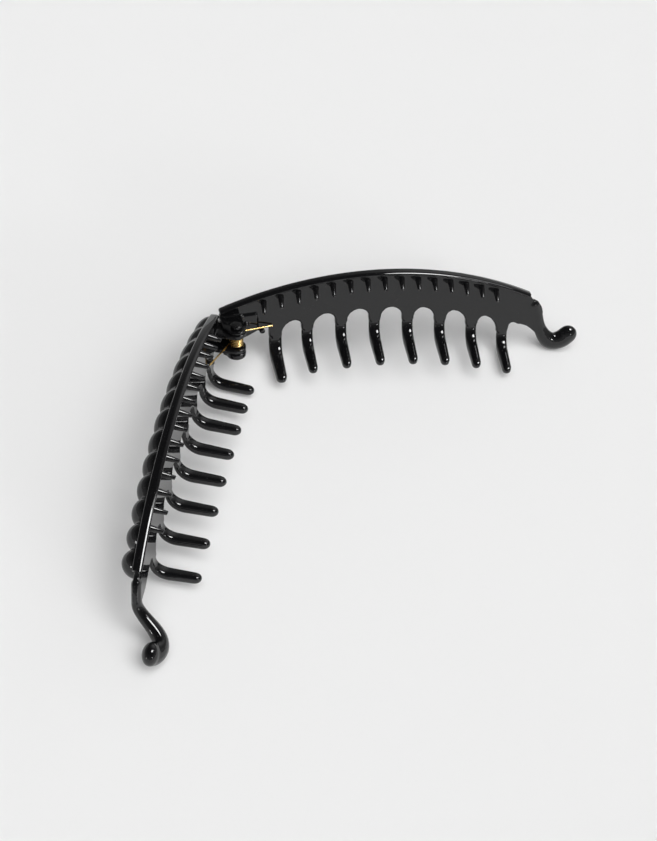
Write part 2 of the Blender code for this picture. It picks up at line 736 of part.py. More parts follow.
def lowest_centres(right_turn, left_turn):
    """Centres and radii of the rounded places that the open clip stands on."""
    hook_foot = HOOK_CENTRE.y - HOOK_BEND
    right_hook = Vector((HOOK_CENTRE.x, RIGHT * RIGHT_HOOK_PLANE, hook_foot))
    left_hook = Vector((HOOK_CENTRE.x, LEFT * LEFT_HOOK_PLANE, hook_foot))
    tip_radius = TOOTH_TIP_WIDTH / 2
    tip = tooth_root(LEFT, 0) + TOOTH_DOWN * tooth_drop(0)
    first_tip = plate_point(LEFT, tip.x, tip.y, tooth_reach(0) - tip_radius)
    return [
        (Matrix.Rotation(right_turn, 3, "Z") @ right_hook, HOOK_THICK / 2),
        (Matrix.Rotation(left_turn, 3, "Z") @ left_hook, HOOK_THICK / 2),
        (Matrix.Rotation(left_turn, 3, "Z") @ first_tip, tip_radius),
    ]


def standing_turn(right_turn, left_turn):
    """Rotation that stands the open clip on its two hooks and a first tooth."""
    normal = Vector((0, 0, 1))
    for _ in range(STANDING_ROUNDS):
        feet = [centre - normal * radius for centre, radius in lowest_centres(right_turn, left_turn)]
        normal = (feet[1] - feet[0]).cross(feet[2] - feet[0]).normalized()
        normal = normal if normal.z > 0 else -normal
    return normal.rotation_difference(Vector((0, 0, 1))).to_euler()


def stand_on_origin(root):
    """Moves the clip so that the origin is under the middle of its box, at its lowest point."""
    bpy.context.view_layer.update()
    corners = [
        obj.matrix_world @ vertex.co
        for obj in parts.objects if obj.type == "MESH"
        for vertex in obj.data.vertices
    ]
    low = Vector(min(corner[axis] for corner in corners) for axis in range(3))
    high = Vector(max(corner[axis] for corner in corners) for axis in range(3))
    root.location = -Vector(((low.x + high.x) / 2, (low.y + high.y) / 2, low.z))
    bpy.context.view_layer.update()


def build():
    black = material("black_gloss_plastic", *PLASTIC)
    lacquer = material("black_lacquer", *LACQUER)
    brass = material("brass_wire", *BRASS)
    right_turn = -math.pi / 2 + OPEN_ANGLE / 2
    left_turn = -math.pi / 2 - OPEN_ANGLE / 2
    root = add_empty("hinge_axis", None, 0)
    root.rotation_euler = standing_turn(right_turn, left_turn)
    right = add_empty("right_side", root, right_turn)
    left = add_empty("left_side", root, left_turn)
    arm("right_arm", RIGHT, black, right)
    arm("left_arm", LEFT, black, left)
    rope_trim("right_rope_trim", RIGHT, black, right)
    rope_trim("left_rope_trim", LEFT, black, left)
    hinge_pin(lacquer, root)
    torsion_spring(brass, root, right_turn, left_turn)
    stand_on_origin(root)


clear_scene()
parts = new_collection(OBJECT_NAME)
cutters = new_collection("cutters")
build()
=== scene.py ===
"""Studio scene of an interlocking banana hair clip in glossy black plastic.

Mouldings are modelled in millimetres, lying on their wall: X runs out from the hinge,
Y up the wall, and Z inward from the wall's inner face, towards the other arm.
"""
import json
import math

import bpy
from mathutils import Matrix, Vector


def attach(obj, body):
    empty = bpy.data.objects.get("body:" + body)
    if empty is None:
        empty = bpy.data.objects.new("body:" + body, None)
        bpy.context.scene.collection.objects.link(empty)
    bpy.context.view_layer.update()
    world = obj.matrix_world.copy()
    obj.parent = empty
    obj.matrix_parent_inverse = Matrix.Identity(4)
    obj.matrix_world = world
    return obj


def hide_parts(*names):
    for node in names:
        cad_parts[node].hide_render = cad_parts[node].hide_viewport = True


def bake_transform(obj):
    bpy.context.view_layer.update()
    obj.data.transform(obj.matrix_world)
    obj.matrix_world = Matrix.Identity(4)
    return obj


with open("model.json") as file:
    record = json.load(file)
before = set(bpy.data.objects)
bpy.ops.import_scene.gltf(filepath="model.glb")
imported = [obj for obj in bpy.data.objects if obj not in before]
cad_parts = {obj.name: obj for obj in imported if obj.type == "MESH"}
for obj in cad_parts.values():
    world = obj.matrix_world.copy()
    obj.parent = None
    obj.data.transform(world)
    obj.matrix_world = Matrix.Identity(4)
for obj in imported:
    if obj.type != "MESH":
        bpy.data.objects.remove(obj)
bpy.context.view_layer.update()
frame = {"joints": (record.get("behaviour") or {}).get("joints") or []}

# Hinge and spring
OPEN_ANGLE = math.radians(115)
LUG_RADIUS = 3.4
BORE_RADIUS = 1.5
LEFT_LUG_THICK = 1.7
RIGHT_TOP_LUG_THICK = 1.0
RIGHT_FOOT_LUG_THICK = 2.2
LUG_GAP = 0.3
PIN_RADIUS = 1.2
PIN_HEAD_RADIUS = 1.95
PIN_HEAD_HEIGHT = 1.3
PIN_FIT = 0.3
PIN_END_GAP = 0.25
PIN_END_EDGE = 0.25
PIN_HEAD_EDGE = 0.28
SPRING_WIRE = 0.6
COIL_RADIUS = 2.2
COIL_MIDDLE = 1.9
COIL_SPACE = 4.605
COIL_TURNS = 5
SPRING_LEG = 14.6
SPRING_LEG_HEIGHT = 1.1
SPRING_FIT = 0.3
BLEND_SLANT = Vector((0.35, 0, 1))
BLEND_REACH = 2.1
PAD_OUT = 5.45
PAD_TOP = 7.0
PAD_LEVEL = -0.05
PAD_LENGTH = 7.5
PAD_THICK = 1.7
PAD_DROP = 1.0
PAD_EDGE = 0.3
STUD_SINK = 1.0
# Studs as (out, up, base, radius, length, edge)
PEG = (LUG_RADIUS + 1.6, SPRING_LEG_HEIGHT + 2.4, 0.8, 0.8, 1.2, 0.2)
LEG_STUD = (10.8, SPRING_LEG_HEIGHT - 1.6, 0, 1.0, 1.4, 0.3)

# Arched wall and rim
RIM_RADIUS = 140.0
CREST_OUT = 41.2
CREST_HEIGHT = 17.5
FAR_OUT = 112.2
ROOT_RADIUS = 140.9
ROOT_OUT = 39.6
ROOT_HEIGHT = 2.5
RIM_WIDTH = 3.2
RIM_THICK = 1.4
RIM_LIP = 1.0
RIM_OUTER = RIM_LIP - RIM_WIDTH
# The rim's section as (inward, up from the arch)
RIM_SECTION = (
    (RIM_OUTER, -RIM_THICK), (RIM_OUTER, -0.45), (RIM_OUTER + 0.1, -0.2), (RIM_OUTER + 0.35, -0.05),
    (RIM_OUTER + 0.6, 0), (RIM_LIP - 1.1, 0), (RIM_LIP - 0.8, -0.06), (RIM_LIP - 0.25, -0.42),
    (RIM_LIP - 0.05, -0.62), (RIM_LIP, -0.85), (RIM_LIP - 0.05, -1.1), (RIM_LIP - 0.25, -1.3),
    (RIM_LIP - 0.6, -1.45), (0, -1.75), (-0.3, -2.3),
)
RIM_NEAR = {"right": -3.9, "left": -1.4}
RIM_FAR = {"right": 0.0, "left": 1.2}
WALL_INSET = 6.8
WALL_TILT = math.radians(2.5)
WALL_THICK = 1.8
END_FILLET = 1.6
NEAR_FILLET = 1.2
NEAR_CORNER_DEPTH = 2.8
# The rounded near end of the rim, as (step, scale) pairs
RIM_END = ((0.3, 0.92), (0.22, 0.8), (0.12, 0.6))
NEAR_END = {"right": -4.5, "left": -3.8}
NOSE_REACH = 5.6
NOSE_STEP = 3.0
NOSE_TOP = (0.3, -1.4)
NOSE_START = math.radians(75)
NOSE_DROP = 10.3
END_LAND_DROP = 1.1

# Teeth, spikes and hooks
TOOTH_COUNT = 8
TOOTH_PITCH = 12.6
TOOTH_WIDTH = 4.6
TOOTH_NECK_WIDTH = 4.2
TOOTH_BEND_THICK = 3.5
TOOTH_BEND_WIDTH = 4.0
TOOTH_TIP_WIDTH = 3.4
TOOTH_TIP_LENGTH = 2.4
TOOTH_TIP_TURNS = (0, 15, 30, 44, 57, 69, 80)
TOOTH_ROOT_RUN = (4.0, 1.0)
TOOTH_FLUSH = 0.1
TOOTH_FIRST = 15.8
TOOTH_STAGGER = {"right": 0.0, "left": 6.4}
TOOTH_REACH = (15.1, 14.3)
TOOTH_DROP = (14.2, 13.1)
TOOTH_BEND = 6.5
TOOTH_SHIFT = {
    "right": (0.3, -0.5, -0.6, -0.65, -0.6, -0.5, -0.1, 0.7),
    "left": (-0.4, -0.25, -0.1, 0, 0, 0.1, 0.25, 0.4),
}
TOOTH_DROOP = math.radians(11)
TOOTH_LEAN = math.radians(2.5)
TOOTH_SWEEP = {"right": 0.1, "left": 0.058}
FIRST_TOOTH_GROWTH = {"right": (1.14, 1.06), "left": (1.0, 1.0)}
TOOTH_GATHER = 0.16
SPIKE_COUNT = 15
SPIKE_FIRST = 11.6
SPIKE_PITCH = 6.35
SPIKE_BASE = 2.4
SPIKE_TIP = 1.3
SPIKE_EDGE = 0.2
SPIKE_LENGTH = 4.7
SPIKE_DEPTH = 3.3
SPIKE_DROOP = math.radians(22)
SPIKE_SWEEP = 0.18
# The hook's middle line and its web, as (out, up) from the far end of the rim
HOOK_PATH = (
    (0.9, -3.8), (1.8, -5.8), (2.7, -8.2), (3.5, -10.8), (4.1, -13.3), (4.9, -16.0),
    (6.0, -18.5), (7.6, -21.0), (9.5, -22.7), (11.8, -23.3), (14.2, -22.8), (16.2, -21.3),
)
HOOK_STRETCH = {"right": 1.0, "left": 0.95}
HOOK_NECK_THICK = 4.6
HOOK_THICK = 7.7
HOOK_FLATNESS = 0.73
HOOK_SWAY = (8.5, 22.5)
HOOK_SWELL = (11.0, 27.0)
HOOK_ROOT = 2.0
HOOK_ROOT_SHARE = 0.55
HOOK_STEPS = 4
HOOK_TIP_TURNS = (18, 36, 52, 66, 78)
HOOK_GUSSET = {
    "right": (
        (6.0, -13.0), (6.6, -16.0), (5.2, -19.5), (3.4, -18.4), (2.4, -17.2), (1.0, -15.7),
        (-0.6, -14.3), (-2.4, -13.3), (-4.2, -12.8),
    ),
    "left": ((4.6, -11.0), (3.8, -12.6), (2.0, -13.4), (0.4, -13.6), (-1.8, -13.3), (-4.2, -12.8)),
}
HOOK_FOOT = -14.0
HOOK_PLANE = {"right": -6.3, "left": 1.8}
HOOK_RETURN = {"right": 0.0, "left": 1.9}

# Rope trim
ROPE_RADIUS = 5.3
ROPE_RIM_GAP = 0.3
ROPE_FIT = 0.3
LOBE_COUNT = 13
LOBE_LAST = 109.8
LOBE_PITCH = 7.7
LOBE_STRETCH = 0.1115
LOBE_LENGTH = (5.0, 8.5)
LOBE_BREADTH = (4.3, 3.7)
LOBE_SLANT = (math.radians(40), math.radians(35))
CORE_RADIUS = (2.9, 4.6)
CORE_TAPER = 0.8
CORE_TAPER_RATE = 20

# Camera, whose shift from the hinge is (right, up, back)
VIEW_AZIMUTH = math.radians(-49.02)
VIEW_ELEVATION = math.radians(39.87)
VIEW_ROLL = math.radians(-1.83)
VIEW_SHIFT = (32.2, -26.6, 649.0)
LENS = 79.5

# Light: directions are (right, away, up) as the camera sees them, and tones (position, grey)
PANE_DEGREES = (36, 68)
PANE_STEPS = 4
PANE_HEADING = (0.97, 0.24)
PANE_SPREAD = 8
PANE_STRENGTH = 0.085
BRIGHT_SIDE = (0.45, 0.8, 0.4)
HORIZON_TONES = ((0.0, 0.42), (0.25, 0.3), (0.5, 0.08), (0.75, 0.03))
FAR_WALL_TONES = ((0.7, 0), (0.9, 0.25), (1.0, 0.8))

# Colours, each as a pair that a finish mixes
BLACK_AND_DUST = ((0.0045, 0.0045, 0.005), (0.05, 0.05, 0.05))
BRASS_AND_TARNISH = ((0.87, 0.62, 0.26), (0.78, 0.52, 0.19))
PAPER_TONES = ((0.86, 0.86, 0.86), (0.88, 0.88, 0.88))

# Fineness
VOXEL = 0.3
ARC_STEPS = 60
SPIKE_SIDES = 24
STUD_SIDES = 32
BORE_SIDES = 48
PIN_SIDES = 64
COIL_STEPS = 28
LEG_STEPS = 12
SMOOTHING = 0.5
ARM_SMOOTH_PASSES = 5
ROPE_SMOOTH_PASSES = 2
SECTION_CORNER = 0.34
CREASE_ANGLE = math.radians(50)
DRILL_LENGTH = 40
MERGE_DISTANCE = 0.0005
PICK_MARGIN = 0.01

# Values that follow from these
MM = 0.001
SIGN = {"right": -1, "left": 1}
ARCH_CENTRE = Vector((CREST_OUT, CREST_HEIGHT - RIM_RADIUS))
ROOT_CENTRE = Vector((ROOT_OUT, ROOT_HEIGHT - ROOT_RADIUS))
TOOTH_STEP = TOOTH_PITCH / ROOT_RADIUS
FIRST_ANGLE = math.asin((TOOTH_FIRST - ROOT_OUT) / ROOT_RADIUS)
FAR_ANGLE = math.asin((FAR_OUT - CREST_OUT) / RIM_RADIUS)
TOOTH_DOWN = Vector((-math.sin(TOOTH_LEAN), -math.cos(TOOTH_LEAN)))
TOOTH_ACROSS = Vector((math.cos(TOOTH_LEAN), -math.sin(TOOTH_LEAN)))
LEFT_TOP_LUG = COIL_MIDDLE + (COIL_SPACE + LEFT_LUG_THICK) / 2
LEFT_FOOT_LUG = COIL_MIDDLE - (COIL_SPACE + LEFT_LUG_THICK) / 2
RIGHT_TOP_LUG = LEFT_TOP_LUG + (LEFT_LUG_THICK + RIGHT_TOP_LUG_THICK) / 2 + LUG_GAP
RIGHT_FOOT_LUG = LEFT_FOOT_LUG - (LEFT_LUG_THICK + RIGHT_FOOT_LUG_THICK) / 2 - LUG_GAP
LUGS = {
    "right": ((RIGHT_TOP_LUG, RIGHT_TOP_LUG_THICK), (RIGHT_FOOT_LUG, RIGHT_FOOT_LUG_THICK)),
    "left": ((LEFT_TOP_LUG, LEFT_LUG_THICK), (LEFT_FOOT_LUG, LEFT_LUG_THICK)),
}
STACK_TOP = RIGHT_TOP_LUG + RIGHT_TOP_LUG_THICK / 2
STACK_FOOT = RIGHT_FOOT_LUG - RIGHT_FOOT_LUG_THICK / 2

# The hinge in the shared frame, and each arm's frame on it
joint = frame["joints"][0]
axis_turn = Vector((0, 0, 1)).rotation_difference(Vector(joint["axis"]))
HINGE = Matrix.Translation(joint["pos_m"]) @ axis_turn.to_matrix().to_4x4()
MILLIMETRES = Matrix.Scale(MM, 4)
TURN = {
    "right": -math.pi / 2 + OPEN_ANGLE / 2,
    "left": -math.pi / 2 - OPEN_ANGLE / 2,
}


def arm_frame(side):
    """Arm frame in millimetres: X out along the arm, Z up the hinge axis."""
    return HINGE @ Matrix.Rotation(TURN[side], 4, "Z") @ MILLIMETRES


def wall_frame(side):
    """Wall frame inside the arm frame: X out, Y up the wall, Z inward from its inner face."""
    sign = SIGN[side]
    up = Vector((0, -sign * math.sin(WALL_TILT), math.cos(WALL_TILT)))
    inward = Vector((0, sign * math.cos(WALL_TILT), math.sin(WALL_TILT)))
    turn = Matrix((Vector((1, 0, 0)), up, inward)).transposed()
    return Matrix.Translation((0, -sign * WALL_INSET, 0)) @ turn.to_4x4()


def arch_point(angle, depth):
    """Point on the wall, at an angle from the crest and a depth below the rim."""
    return ARCH_CENTRE + (RIM_RADIUS - depth) * Vector((math.sin(angle), math.cos(angle)))


def rim_angle(out):
    """Angle from the crest of the place on the rim that is so far out from the hinge."""
    return math.asin((out - CREST_OUT) / RIM_RADIUS)


def span(start, end, count):
    """Evenly spaced values from start to end, both included."""
    return [start + (end - start) * step / count for step in range(count + 1)]


def mixed(ends, share):
    """Value at a share of the way between two ends."""
    return ends[0] + (ends[1] - ends[0]) * share


def ease(share):
    """Share from nought to one that starts and stops gently."""
    share = min(1, max(0, share))
    return share * share * (3 - 2 * share)


FAR_END = arch_point(FAR_ANGLE, 0)


# Hand tools

def choose(piece):
    """Selects one piece alone and makes it the active one."""
    bpy.ops.object.select_all(action="DESELECT")
    bpy.context.view_layer.objects.active = piece
    piece.select_set(True)


def edit(piece):
    """Opens one piece alone in edit mode, with everything on it selected."""
    choose(piece)
    bpy.ops.object.mode_set(mode="EDIT")
    bpy.ops.mesh.select_all(action="SELECT")


def leave():
    """Goes back to object mode."""
    bpy.ops.object.mode_set(mode="OBJECT")


def pick(piece, test):
    """Selects the faces of an opened piece whose centre passes a test."""
    bpy.ops.mesh.select_mode(type="FACE")
    bpy.ops.mesh.select_all(action="DESELECT")
    leave()
    for face in piece.data.polygons:
        face.select = bool(test(face.center))
    bpy.ops.object.mode_set(mode="EDIT")


def outward(piece):
    """Merges doubles and turns every face outwards."""
    edit(piece)
    bpy.ops.mesh.remove_doubles(threshold=MERGE_DISTANCE)
    bpy.ops.mesh.normals_make_consistent(inside=False)
    leave()


def finish(piece, kind, **settings):
    """Adds a modifier, sets it and applies it."""
    choose(piece)
    bpy.ops.object.modifier_add(type=kind)
    modifier = piece.modifiers[-1]
    for name, value in settings.items():
        setattr(modifier, name, value)
    bpy.ops.object.modifier_apply(modifier=modifier.name)


def copy_of(piece, matrix):
    """Another of the same shape, with its own mesh, moved by a matrix."""
    twin = piece.copy()
    twin.data = piece.data.copy()
    bpy.context.scene.collection.objects.link(twin)
    twin.data.transform(matrix)
    return twin


def joined(name, pieces):
    """Joins pieces into the first of them."""
    bpy.ops.object.select_all(action="DESELECT")
    for piece in pieces:
        piece.select_set(True)
    bpy.context.view_layer.objects.active = pieces[0]
    bpy.ops.object.join()
    pieces[0].name = name
    return pieces[0]


def added(name):
    """The object that an operator has just added, named and with its place in its mesh."""
    piece = bpy.context.object
    piece.name = name
    bpy.ops.object.transform_apply(location=True, rotation=True, scale=True)
    return piece


def drawn_curve(name, points, radii=None):
    """A path drawn through points, ready to be given a section."""
    bpy.ops.object.select_all(action="DESELECT")
    bpy.ops.curve.primitive_nurbs_path_add()
    path = bpy.context.object
    path.name = name
    path.data.splines.clear()
    spline = path.data.splines.new("POLY")
    spline.points.add(len(points) - 1)
    for index, point in enumerate(spline.points):
        point.co = (*points[index], 1)
        point.radius = radii[index] if radii else 1
    return path


def filled(name, outline, half_thick=0):
    """A closed outline filled flat, or thickened to both sides of its plane."""
    path = drawn_curve(name, [(x, y, 0) for x, y in outline])
    path.data.dimensions = "2D"
    path.data.fill_mode = "BOTH"
    path.data.splines[0].use_cyclic_u = True
    path.data.extrude = half_thick
    bpy.ops.object.convert(target="MESH")
    return bpy.context.object


def plate(name, outline, low, high):
    """A flat outline filled and thickened between two levels of Z."""
    piece = filled(name, outline, (high - low) / 2)
    piece.data.transform(Matrix.Translation((0, 0, (low + high) / 2)))
    outward(piece)
    return piece


def rod(name, points, radii, roundness=6):
    """A round bar along a drawn path, with its own radius at each point."""
    path = drawn_curve(name, points, radii)
    path.data.dimensions = "3D"
    path.data.bevel_depth = 1
    path.data.bevel_resolution = roundness
    path.data.use_fill_caps = True
    bpy.ops.object.convert(target="MESH")
    path = bpy.context.object
    outward(path)
    return path


def bar(name, sections):
    """A soft-cornered bar extruded section by section in the YZ plane.

    Each section is (up, inward, heading, width, thickness); heading 0 goes down the wall
    and a quarter turn goes inward.
    """
    bpy.ops.object.select_all(action="DESELECT")
    bpy.ops.mesh.primitive_plane_add(size=1)
    piece = added(name)
    edit(piece)
    bpy.ops.mesh.bevel(offset=SECTION_CORNER, segments=4, affect="VERTICES")
    leave()
    up, inward, heading, width, thick = sections[0]
    start = Matrix.Rotation(math.pi / 2 - heading, 4, "X") @ Matrix.Diagonal((width, thick, 1, 1))
    piece.data.transform(Matrix.Translation((0, up, inward)) @ start)
    edit(piece)
    for before, after in zip(sections, sections[1:]):
        place = (0, after[0], after[1])
        step = (0, after[0] - before[0], after[1] - before[1])
        bpy.ops.mesh.extrude_region_move(TRANSFORM_OT_translate={"value": step})
        flat = before[2] - math.pi / 2
        bpy.ops.transform.rotate(value=-flat, orient_axis="X", center_override=place)
        grow = (after[3] / before[3], after[4] / before[4], 1)
        bpy.ops.transform.resize(value=grow, center_override=place)
        bpy.ops.transform.rotate(value=after[2] - math.pi / 2, orient_axis="X", center_override=place)
    leave()
    outward(piece)
    return piece


# Pieces of an arm

def along_row(index, sizes):
    """A tooth's size, which changes a little from the middle of the row to its ends."""
    middle = (TOOTH_COUNT - 1) / 2
    return sizes[0] + (sizes[1] - sizes[0]) * ((index - middle) / middle) ** 2


def prong_length(index):
    """Straight run of a tooth, from the end of its bend to its tip."""
    bend_end = -WALL_THICK / 2 + TOOTH_BEND * (1 - math.sin(TOOTH_DROOP))
    return (along_row(index, TOOTH_REACH) - bend_end) / math.cos(TOOTH_DROOP)


def shoulder_drop(index):
    """Height of a tooth's root above the start of its bend."""
    bent = TOOTH_BEND * math.cos(TOOTH_DROOP) + prong_length(index) * math.sin(TOOTH_DROOP)
    return along_row(index, TOOTH_DROP) - bent


def growth(side, index):
    """How much wider and longer a tooth is than the rest of its row."""
    return (1, 1) if index else FIRST_TOOTH_GROWTH[side]


def tooth_root(side, index):
    """Place on the wall that a tooth hangs from."""
    shift = TOOTH_SHIFT[side][index] - TOOTH_STAGGER[side]
    angle = FIRST_ANGLE + index * TOOTH_STEP + shift / ROOT_RADIUS
    return ROOT_CENTRE + ROOT_RADIUS * Vector((math.sin(angle), math.cos(angle)))


def wall_outline(side):
    """Side view of the wall: arched top, round nose, scallops between shoulders, lug tab."""
    near = rim_angle(max(RIM_NEAR[side], NEAR_END[side]))
    outline = [arch_point(angle, RIM_THICK / 2) for angle in span(near, FAR_ANGLE, ARC_STEPS)]
    outline.append(FAR_END + Vector(NOSE_TOP))
    for turn in span(NOSE_START, 0, 12):
        rise = (NOSE_DROP - NOSE_STEP) * math.sin(turn) - NOSE_DROP
        outline.append(FAR_END + Vector((NOSE_REACH * math.cos(turn), rise)))
    for corner in HOOK_GUSSET[side]:
        outline.append(FAR_END + Vector(corner))
    land = tooth_root(side, TOOTH_COUNT - 1) + TOOTH_ACROSS * (TOOTH_WIDTH / 2 + END_FILLET)
    land += TOOTH_DOWN * END_LAND_DROP
    for turn in span(0, math.pi / 2, 8):
        bend = TOOTH_DOWN * (1 - math.cos(turn)) - TOOTH_ACROSS * math.sin(turn)
        outline.append(land + bend * END_FILLET)
    for index in reversed(range(TOOTH_COUNT)):
        root = tooth_root(side, index)
        foot = TOOTH_DOWN * shoulder_drop(index)
        half_width = TOOTH_ACROSS * growth(side, index)[0] * TOOTH_WIDTH / 2
        half_neck = TOOTH_ACROSS * growth(side, index)[0] * TOOTH_NECK_WIDTH / 2
        outline += [root + half_neck + foot, root - half_neck + foot]
        half_gap = TOOTH_ACROSS * NEAR_FILLET
        if index:
            half_gap = (root - tooth_root(side, index - 1)) / 2 - half_width
        centre = root - half_width - half_gap
        for turn in span(0, math.pi if index else math.pi / 2, 24 if index else 12):
            fall = TOOTH_DOWN * half_gap.length * (1 - math.sin(turn))
            outline.append(centre + half_gap * math.cos(turn) + fall)
    tab_foot = RIGHT_FOOT_LUG if side == "right" else LEFT_FOOT_LUG
    outline.append(Vector((min(LUG_RADIUS, outline[-1].x), tab_foot)))
    outline.append(Vector((NEAR_END[side], tab_foot)))
    near_top = arch_point(rim_angle(NEAR_END[side]), NEAR_CORNER_DEPTH).y
    outline.append(Vector((NEAR_END[side], near_top)))
    return outline


def tooth():
    """A middle tooth: flush with the wall, round its bend, and out to a blunt tip."""
    index = (TOOTH_COUNT - 1) / 2
    shoulder = shoulder_drop(index)
    drop = along_row(index, TOOTH_DROP)
    reach = along_row(index, TOOTH_REACH)
    sections = [
        (-shoulder + TOOTH_ROOT_RUN[0], -WALL_THICK / 2, 0, TOOTH_NECK_WIDTH, WALL_THICK - TOOTH_FLUSH),
        (-shoulder + TOOTH_ROOT_RUN[1], -WALL_THICK / 2, 0, TOOTH_NECK_WIDTH, WALL_THICK),
    ]
    last = math.pi / 2 - TOOTH_DROOP
    for turn in span(0, last, 10):
        share = turn / last
        sections.append((
            -shoulder - TOOTH_BEND * math.sin(turn),
            -WALL_THICK / 2 + TOOTH_BEND * (1 - math.cos(turn)),
            turn,
            mixed((TOOTH_NECK_WIDTH, TOOTH_BEND_WIDTH), share),
            mixed((WALL_THICK + TOOTH_FLUSH, TOOTH_BEND_THICK), ease(share)),
        ))
    radius = TOOTH_TIP_WIDTH / 2
    for turn in TOOTH_TIP_TURNS:
        back = TOOTH_TIP_LENGTH * (1 - math.sin(math.radians(turn)))
        size = 2 * radius * math.cos(math.radians(turn))
        sections.append((
            -drop + back * math.sin(TOOTH_DROOP),
            reach - back * math.cos(TOOTH_DROOP),
            last, size, size,
        ))
    return bar("tooth", sections)


def teeth(side):
    """The row of teeth, each leaning along the arm and gathered a little towards its middle."""
    first = tooth()
    middle = (TOOTH_COUNT - 1) / 2
    lean = Matrix.Rotation(-TOOTH_LEAN, 4, "Z")
    row = []
    for index in range(TOOTH_COUNT):
        root = tooth_root(side, index)
        drop = along_row(index, TOOTH_DROP)
        reach = along_row(index, TOOTH_REACH)
        wider, longer = growth(side, index)
        fit = Matrix.Diagonal((wider, longer * drop / TOOTH_DROP[0], longer * reach / TOOTH_REACH[0], 1))
        gather = Matrix.Identity(4)
        gather[0][2] = TOOTH_GATHER * (middle - index) / reach - TOOTH_SWEEP[side]
        row.append(copy_of(first, Matrix.Translation((root.x, root.y, 0)) @ lean @ gather @ fit))
    bpy.data.objects.remove(first, do_unlink=True)
    return row


def spikes():
    """The row of cones under the rim."""
    bpy.ops.object.select_all(action="DESELECT")
    length = SPIKE_LENGTH + WALL_THICK / 2
    bpy.ops.mesh.primitive_cone_add(
        vertices=SPIKE_SIDES, radius1=SPIKE_BASE / 2, radius2=SPIKE_TIP / 2, depth=length,
        location=(0, 0, length / 2 - WALL_THICK / 2))
    first = added("spike")
    edit(first)
    pick(first, lambda place: place.z > SPIKE_LENGTH - PICK_MARGIN)
    bpy.ops.mesh.bevel(offset=SPIKE_EDGE, segments=3, affect="EDGES")
    leave()
    radius = RIM_RADIUS - SPIKE_DEPTH
    start = math.asin((SPIKE_FIRST - CREST_OUT) / radius)
    droop = Matrix.Rotation(SPIKE_DROOP, 4, "X")
    sweep = Matrix.Identity(4)
    sweep[0][2] = -SPIKE_SWEEP
    row = []
    for index in range(SPIKE_COUNT):
        place = arch_point(start + index * SPIKE_PITCH / radius, SPIKE_DEPTH)
        row.append(copy_of(first, Matrix.Translation((place.x, place.y, 0)) @ sweep @ droop))
    bpy.data.objects.remove(first, do_unlink=True)
    return row


def smooth_line(places, steps):
    """A line bent evenly through every place, with a number of steps between each two."""
    line = []
    for index in range(len(places) - 1):
        first, second = places[index], places[index + 1]
        before = places[index - 1] if index else 2 * first - second
        after = places[index + 2] if index + 2 < len(places) else 2 * second - first
        for share in span(0, 1, steps)[:-1]:
            line.append(first + ((second - before) * share + (
                2 * before - 5 * first + 4 * second - after) * share ** 2 + (
                3 * first - before - 3 * second + after) * share ** 3) / 2)
    return line + [places[-1]]


def hook(side):
    """J-shaped finger that runs on from the wall, drawn in the arm frame."""
    sign = SIGN[side]
    corners = [FAR_END + Vector((out * HOOK_STRETCH[side], up)) for out, up in HOOK_PATH]
    places = smooth_line(corners, HOOK_STEPS)
    lengths = [0]
    for before, after in zip(places, places[1:]):
        lengths.append(lengths[-1] + (after - before).length)
    points = []
    radii = []
    for place, length in zip(places, lengths):
        sway = ease((length - HOOK_SWAY[0]) / (HOOK_SWAY[1] - HOOK_SWAY[0]))
        back = ease((length - HOOK_SWAY[1]) / (lengths[-1] - HOOK_SWAY[1]))
        neck_plane = -(WALL_INSET + max(place.y, HOOK_FOOT) * math.tan(WALL_TILT)) - WALL_THICK / 2
        plane = neck_plane + (HOOK_PLANE[side] - neck_plane) * sway - HOOK_RETURN[side] * back
        points.append(Vector((place.x, sign * plane / HOOK_FLATNESS, place.y)))
        swell = ease((length - HOOK_SWELL[0]) / (HOOK_SWELL[1] - HOOK_SWELL[0]))
        thick = mixed((HOOK_NECK_THICK, HOOK_THICK), swell)
        radii.append(thick / 2 * mixed((HOOK_ROOT_SHARE, 1), ease(length / HOOK_ROOT)))
    heading = (points[-1] - points[-2]).normalized()
    tip = points[-1]
    radius = radii[-1]
    for turn in HOOK_TIP_TURNS:
        points.append(tip + heading * radius * math.sin(math.radians(turn)))
        radii.append(radius * math.cos(math.radians(turn)))
    finger = rod("hook", points, radii)
    finger.data.transform(wall_frame(side).inverted() @ Matrix.Diagonal((1, HOOK_FLATNESS, 1, 1)))
    return finger


def lug(side, height, thick):
    """Round-ended plate on the hinge axis, bored for the pin, drawn in the arm frame."""
    sign = SIGN[side]
    root = -sign * (WALL_INSET + height * math.tan(WALL_TILT) + WALL_THICK / 2)
    outline = [(NEAR_END[side], root), (LUG_RADIUS, root)]
    for turn in span(0, math.pi, 32):
        outline.append((LUG_RADIUS * math.cos(turn), sign * LUG_RADIUS * math.sin(turn)))
    outline.append((NEAR_END[side], -sign * LUG_RADIUS / 4))
    blank = plate("lug", outline, height - thick / 2, height + thick / 2)
    bpy.ops.object.select_all(action="DESELECT")
    bpy.ops.mesh.primitive_cylinder_add(vertices=BORE_SIDES, radius=BORE_RADIUS, depth=DRILL_LENGTH)
    drill = added("drill")
    finish(blank, "BOOLEAN", operation="DIFFERENCE", object=drill)
    bpy.data.objects.remove(drill, do_unlink=True)
    blank.data.transform(wall_frame(side).inverted())
    outward(blank)
    return blank


